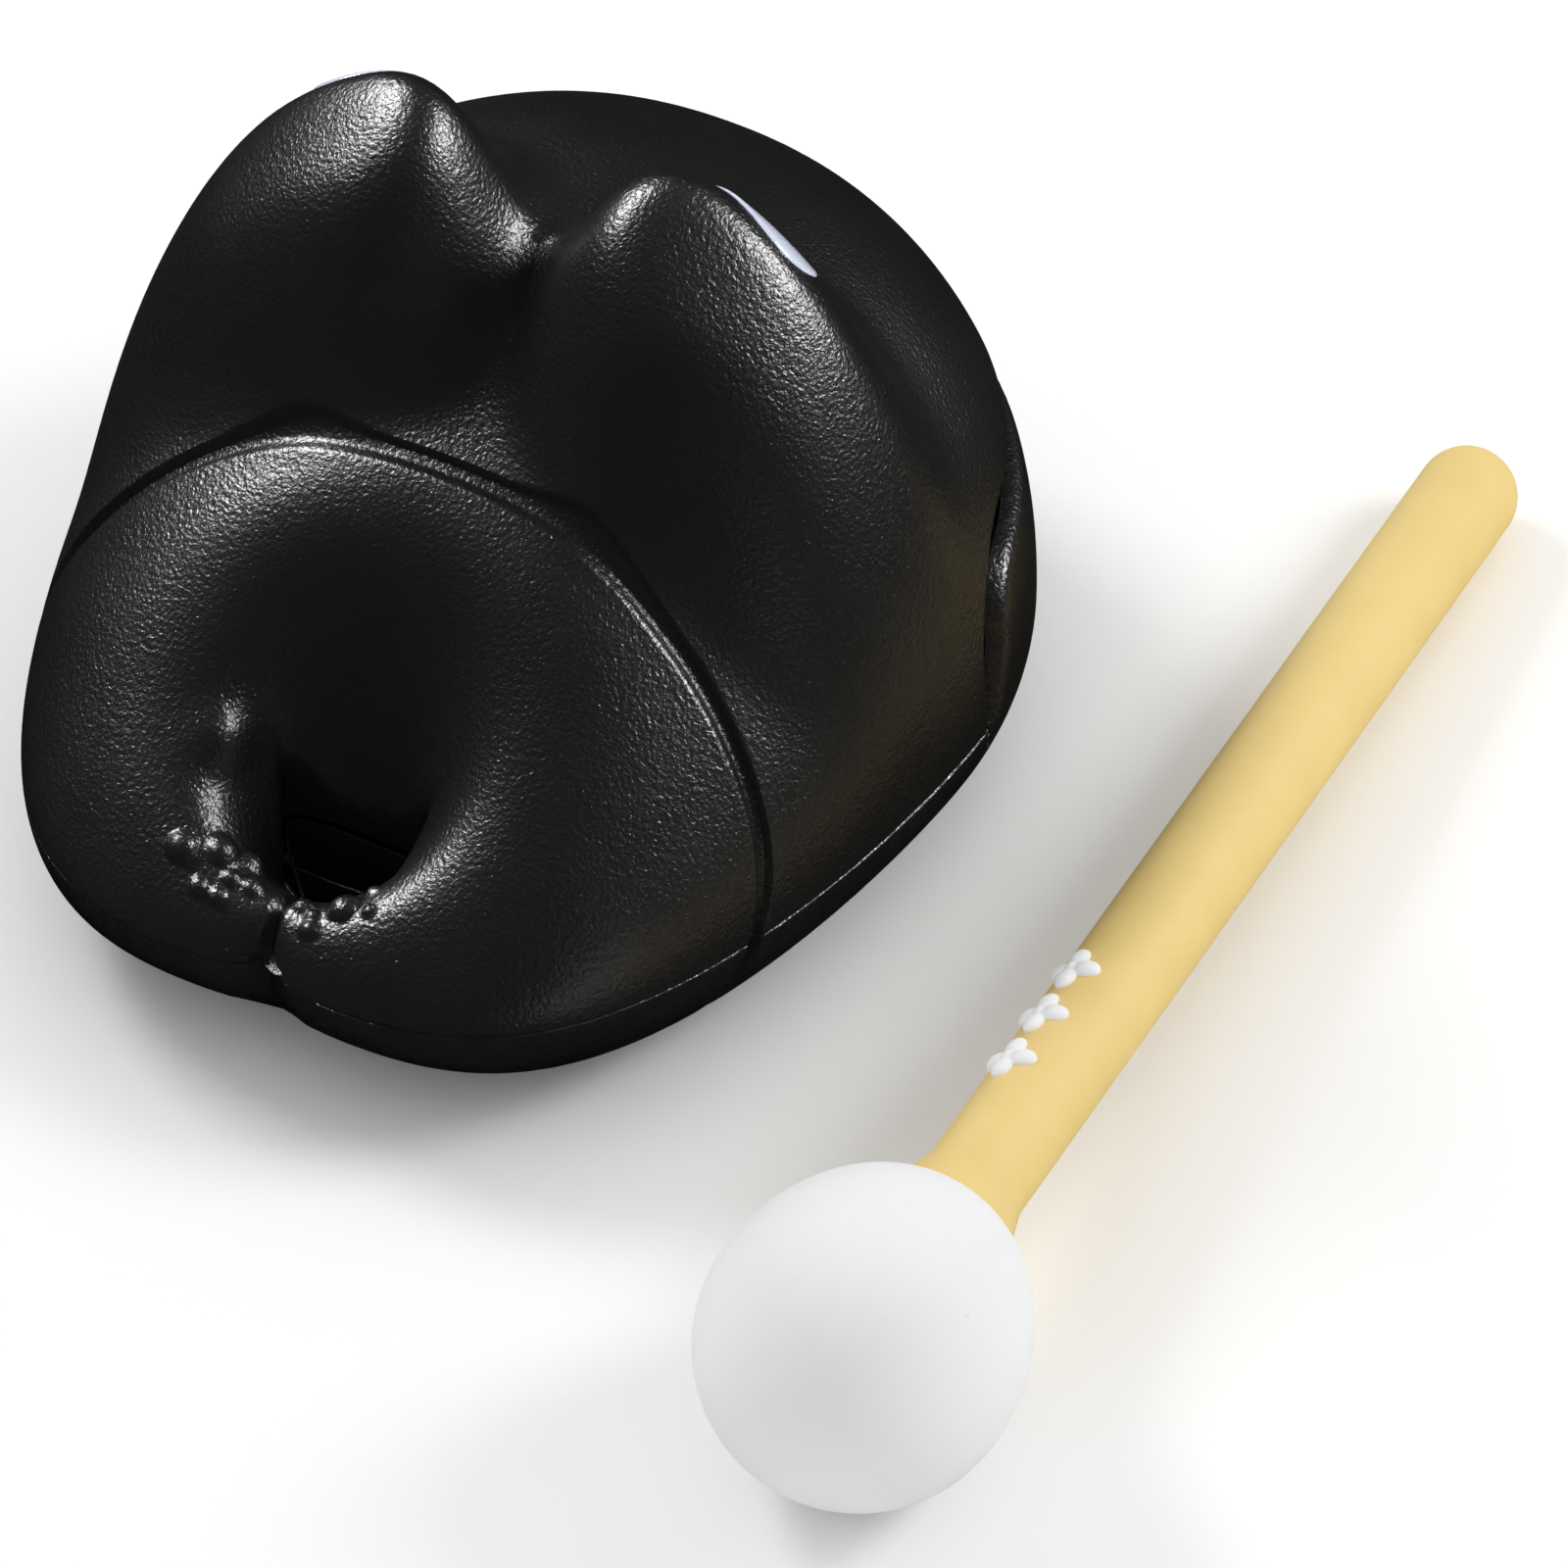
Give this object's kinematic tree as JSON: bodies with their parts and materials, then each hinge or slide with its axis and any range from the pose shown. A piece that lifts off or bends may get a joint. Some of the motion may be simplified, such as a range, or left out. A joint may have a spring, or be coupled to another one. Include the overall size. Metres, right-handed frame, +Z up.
{
  "type": "mokugyo wooden fish",
  "caption": "Hollow moulded mokugyo in the form of a looped-tail fish, with eye humps, mouth slit and sound hole, and a loose egg-headed mallet.",
  "frame": {"origin": "on the ground under the middle of the fish", "axes": "+Z up, -Y towards the mouth, +Y towards the looped tail, the mallet on the -X side"},
  "size_m": [0.1249, 0.1477, 0.0708],
  "materials": {
    "shell": "black, fine leather grain, semi-gloss",
    "eye": "glossy white",
    "steel": "plain steel",
    "pad": "soft black",
    "egg": "matte white",
    "handle": "satin yellow"
  },
  "bodies": {
    "fish": {"upper_shell": "shell", "lower_shell": "shell", "eye_inlay_left": "eye", "eye_inlay_right": "eye", "shell_screws": "steel", "foot_pad_1": "pad", "foot_pad_2": "pad", "foot_pad_3": "pad", "foot_pad_4": "pad"},
    "mallet": {"mallet_head": "egg", "mallet_handle": "handle", "mallet_core": "steel", "handle_ornament_1": "egg", "handle_ornament_2": "egg", "handle_ornament_3": "egg"}
  },
  "joints": [
    {"name": "mallet_swing", "type": "hinge", "parent": "fish", "child": "mallet", "pos_m": [-0.06239, -0.0646, 0.0047], "axis": [0.999, 0.0436, 0], "range_deg": [0, 75]}
  ]
}
